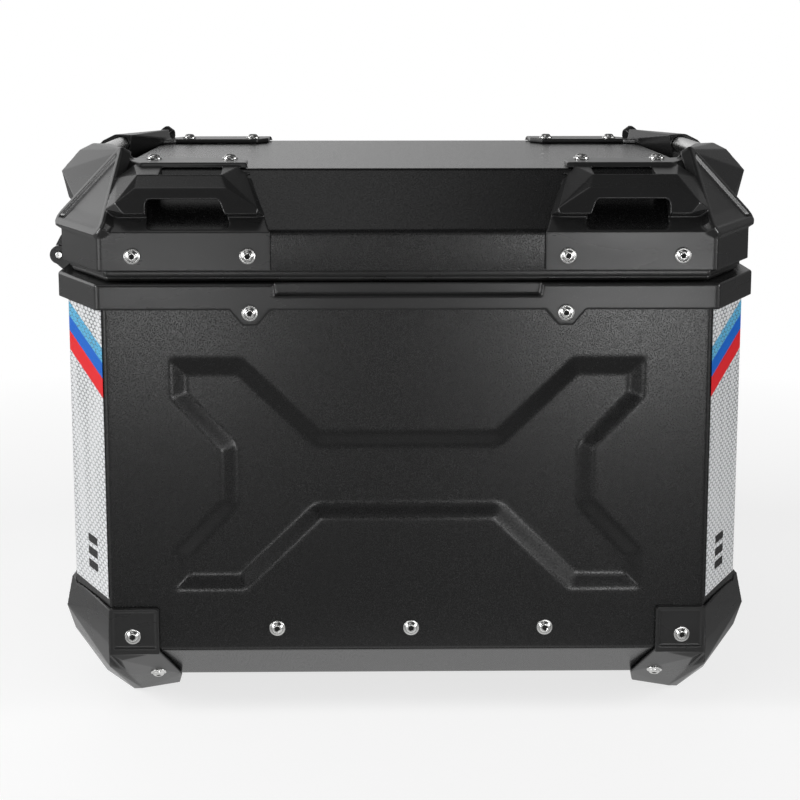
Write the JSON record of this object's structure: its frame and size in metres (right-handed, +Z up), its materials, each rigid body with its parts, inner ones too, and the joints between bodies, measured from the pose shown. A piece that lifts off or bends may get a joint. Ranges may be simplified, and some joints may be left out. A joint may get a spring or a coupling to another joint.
{
  "type": "motorcycle top case",
  "caption": "Sheet-metal top case with bevelled corners, a side-hinged lid, moulded corner brackets with grab loops, tie rails, corner feet and a key hasp.",
  "frame": {"origin": "on the ground, under the middle of the case's bounding box", "axes": "+X to the right of the case as seen from the face with the three low screws, +Y towards its far side, +Z up"},
  "size_m": [0.4464, 0.382, 0.3351],
  "materials": {
    "black_coated_sheet": "fine-grained black powder coat on aluminium sheet",
    "black_plastic": "satin moulded black plastic",
    "stainless_steel": "bright stainless steel",
    "black_rubber": "smooth black rubber",
    "reflective_film": "silver prismatic reflective film with cyan, blue and red bands",
    "grey_mat": "dark grey needle felt"
  },
  "bodies": {
    "case": {"wall_shell": "black_coated_sheet", "floor_tray": "black_coated_sheet", "collar_frame": "black_plastic", "foot_front_left": "black_plastic", "foot_front_right": "black_plastic", "foot_rear_left": "black_plastic", "foot_rear_right": "black_plastic", "reflector_front_left": "reflective_film", "reflector_front_right": "reflective_film", "reflector_rear_left": "reflective_film", "reflector_rear_right": "reflective_film", "hinge_base_leaf": "black_plastic", "hinge_pin": "stainless_steel", "catch_plate": "black_plastic", "receiver_plate": "black_plastic", "floor_mat": "grey_mat", "front_wall_screw_1": "stainless_steel", "front_wall_screw_2": "stainless_steel", "front_wall_screw_3": "stainless_steel", "rear_wall_screw_1": "stainless_steel", "rear_wall_screw_2": "stainless_steel", "rear_wall_screw_3": "stainless_steel", "front_collar_screw_left": "stainless_steel", "front_collar_screw_right": "stainless_steel", "rear_collar_screw_left": "stainless_steel", "rear_collar_screw_right": "stainless_steel"},
    "lid": {"lid_shell": "black_coated_sheet", "lid_rim": "black_plastic", "lid_seal": "black_rubber", "bracket_front_left": "black_plastic", "bracket_front_right": "black_plastic", "bracket_rear_left": "black_plastic", "bracket_rear_right": "black_plastic", "rail_left": "stainless_steel", "rail_right": "stainless_steel", "hinge_lid_leaf": "black_plastic", "hasp_mount": "black_plastic", "hasp_pin": "stainless_steel", "front_left_band_screw_1": "stainless_steel", "front_left_band_screw_2": "stainless_steel", "front_right_band_screw_1": "stainless_steel", "front_right_band_screw_2": "stainless_steel", "rear_left_band_screw_1": "stainless_steel", "rear_left_band_screw_2": "stainless_steel", "rear_right_band_screw_1": "stainless_steel", "rear_right_band_screw_2": "stainless_steel", "front_left_top_screw_1": "stainless_steel", "front_left_top_screw_2": "stainless_steel", "front_right_top_screw_1": "stainless_steel", "front_right_top_screw_2": "stainless_steel", "rear_left_top_screw_1": "stainless_steel", "rear_left_top_screw_2": "stainless_steel", "rear_right_top_screw_1": "stainless_steel", "rear_right_top_screw_2": "stainless_steel"},
    "hasp": {"hasp": "black_plastic"},
    "hasp_key": {"key_cylinder": "stainless_steel"},
    "release": {"release_knob": "black_plastic", "release_cam": "stainless_steel"}
  },
  "joints": [
    {"name": "lid_hinge", "type": "hinge", "parent": "case", "child": "lid", "pos_m": [-0.2174, 0, 0.264], "axis": [0, -1, 0], "range_deg": [0, 95]},
    {"name": "hasp_hinge", "type": "hinge", "parent": "lid", "child": "hasp", "pos_m": [0.2185, 0, 0.2838], "axis": [0, -1, 0], "range_deg": [0, 75]},
    {"name": "hasp_lock", "type": "hinge", "parent": "hasp", "child": "hasp_key", "pos_m": [0.2185, 0, 0.2548], "axis": [1, 0, 0], "range_deg": [0, 90]},
    {"name": "release_turn", "type": "hinge", "parent": "case", "child": "release", "pos_m": [0, 0.06, 0.014], "axis": [0, 0, 1], "range_deg": [0, 90]}
  ]
}
